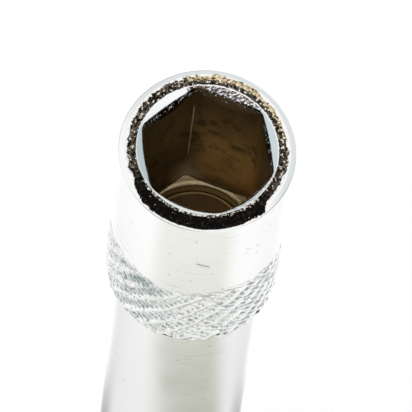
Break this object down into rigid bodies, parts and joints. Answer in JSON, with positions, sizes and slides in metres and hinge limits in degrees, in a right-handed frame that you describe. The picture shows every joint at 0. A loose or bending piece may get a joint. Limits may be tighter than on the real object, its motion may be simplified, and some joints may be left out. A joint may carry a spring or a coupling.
{
  "type": "bit holder screwdriver",
  "caption": "Ratcheting bit holder screwdriver: knurled round shaft with a magnetic hexagon bit socket, finger selector ring and a soft lobed handle.",
  "frame": {"origin": "centre of the flat of the end cap, on which the tool stands", "axes": "+Z along the shaft from the end cap to the socket; +Y through a corner of the hexagon; +X through the detent of the selector"},
  "size_m": [0.0336, 0.0328, 0.2251],
  "materials": {
    "chrome_bar": "bright, finely scratched",
    "magnet": "dull plated",
    "tool_steel": "ground and oiled",
    "spring_steel": "bright wire and strip",
    "plated_steel": "zinc plated",
    "bush_bronze": "sintered and oiled",
    "cast_alloy": "as cast",
    "satin_alloy": "satin turned",
    "seal_rubber": "matt",
    "selector_plastic": "fine texture",
    "core_plastic": "moulded",
    "grip_rubber": "soft matt",
    "cap_plastic": "moulded"
  },
  "bodies": {
    "handle": {"handle_core": "core_plastic", "grip_sleeve": "grip_rubber", "end_cap": "cap_plastic", "housing_bolt": "plated_steel", "bolt_washer": "plated_steel", "ratchet_housing": "cast_alloy", "housing_cover": "satin_alloy", "cover_screws": "plated_steel", "nose_seal": "seal_rubber", "front_bush": "bush_bronze", "rear_bush": "bush_bronze", "rear_thrust_washer": "tool_steel", "front_thrust_washer": "tool_steel", "pawl_pins": "tool_steel", "forward_pawl_spring": "spring_steel", "reverse_pawl_spring": "spring_steel", "detent_spring": "spring_steel"},
    "shaft": {"bit_holder_shaft": "chrome_bar", "socket_magnet": "magnet", "ratchet_gear": "tool_steel", "gear_snap_ring": "spring_steel"},
    "selector": {"selector_ring": "selector_plastic"},
    "forward_pawl": {"forward_pawl": "tool_steel"},
    "reverse_pawl": {"reverse_pawl": "tool_steel"}
  },
  "joints": [
    {"name": "shaft_spin", "type": "hinge", "parent": "handle", "child": "shaft", "pos_m": [0, 0, 0.1206], "axis": [0, 0, 1], "continuous": true},
    {"name": "selector_turn", "type": "hinge", "parent": "handle", "child": "selector", "pos_m": [0, 0, 0.1193], "axis": [0, 0, 1], "range_deg": [0, 60], "deforming": ["detent_spring"]},
    {"name": "forward_pawl_rock", "type": "hinge", "parent": "handle", "child": "forward_pawl", "pos_m": [-0.00218, -0.00923, 0.1206], "axis": [0, 0, 1], "range_deg": [-9.26, 0], "deforming": ["forward_pawl_spring"]},
    {"name": "reverse_pawl_rock", "type": "hinge", "parent": "handle", "child": "reverse_pawl", "pos_m": [-0.00218, 0.00923, 0.1206], "axis": [0, 0, 1], "range_deg": [-9.26, 0], "deforming": ["reverse_pawl_spring"]}
  ],
  "couplings": [
    {"joint": "forward_pawl_rock", "follows": "selector_turn", "ratio": -0.15426},
    {"joint": "reverse_pawl_rock", "follows": "selector_turn", "ratio": -0.15426}
  ]
}
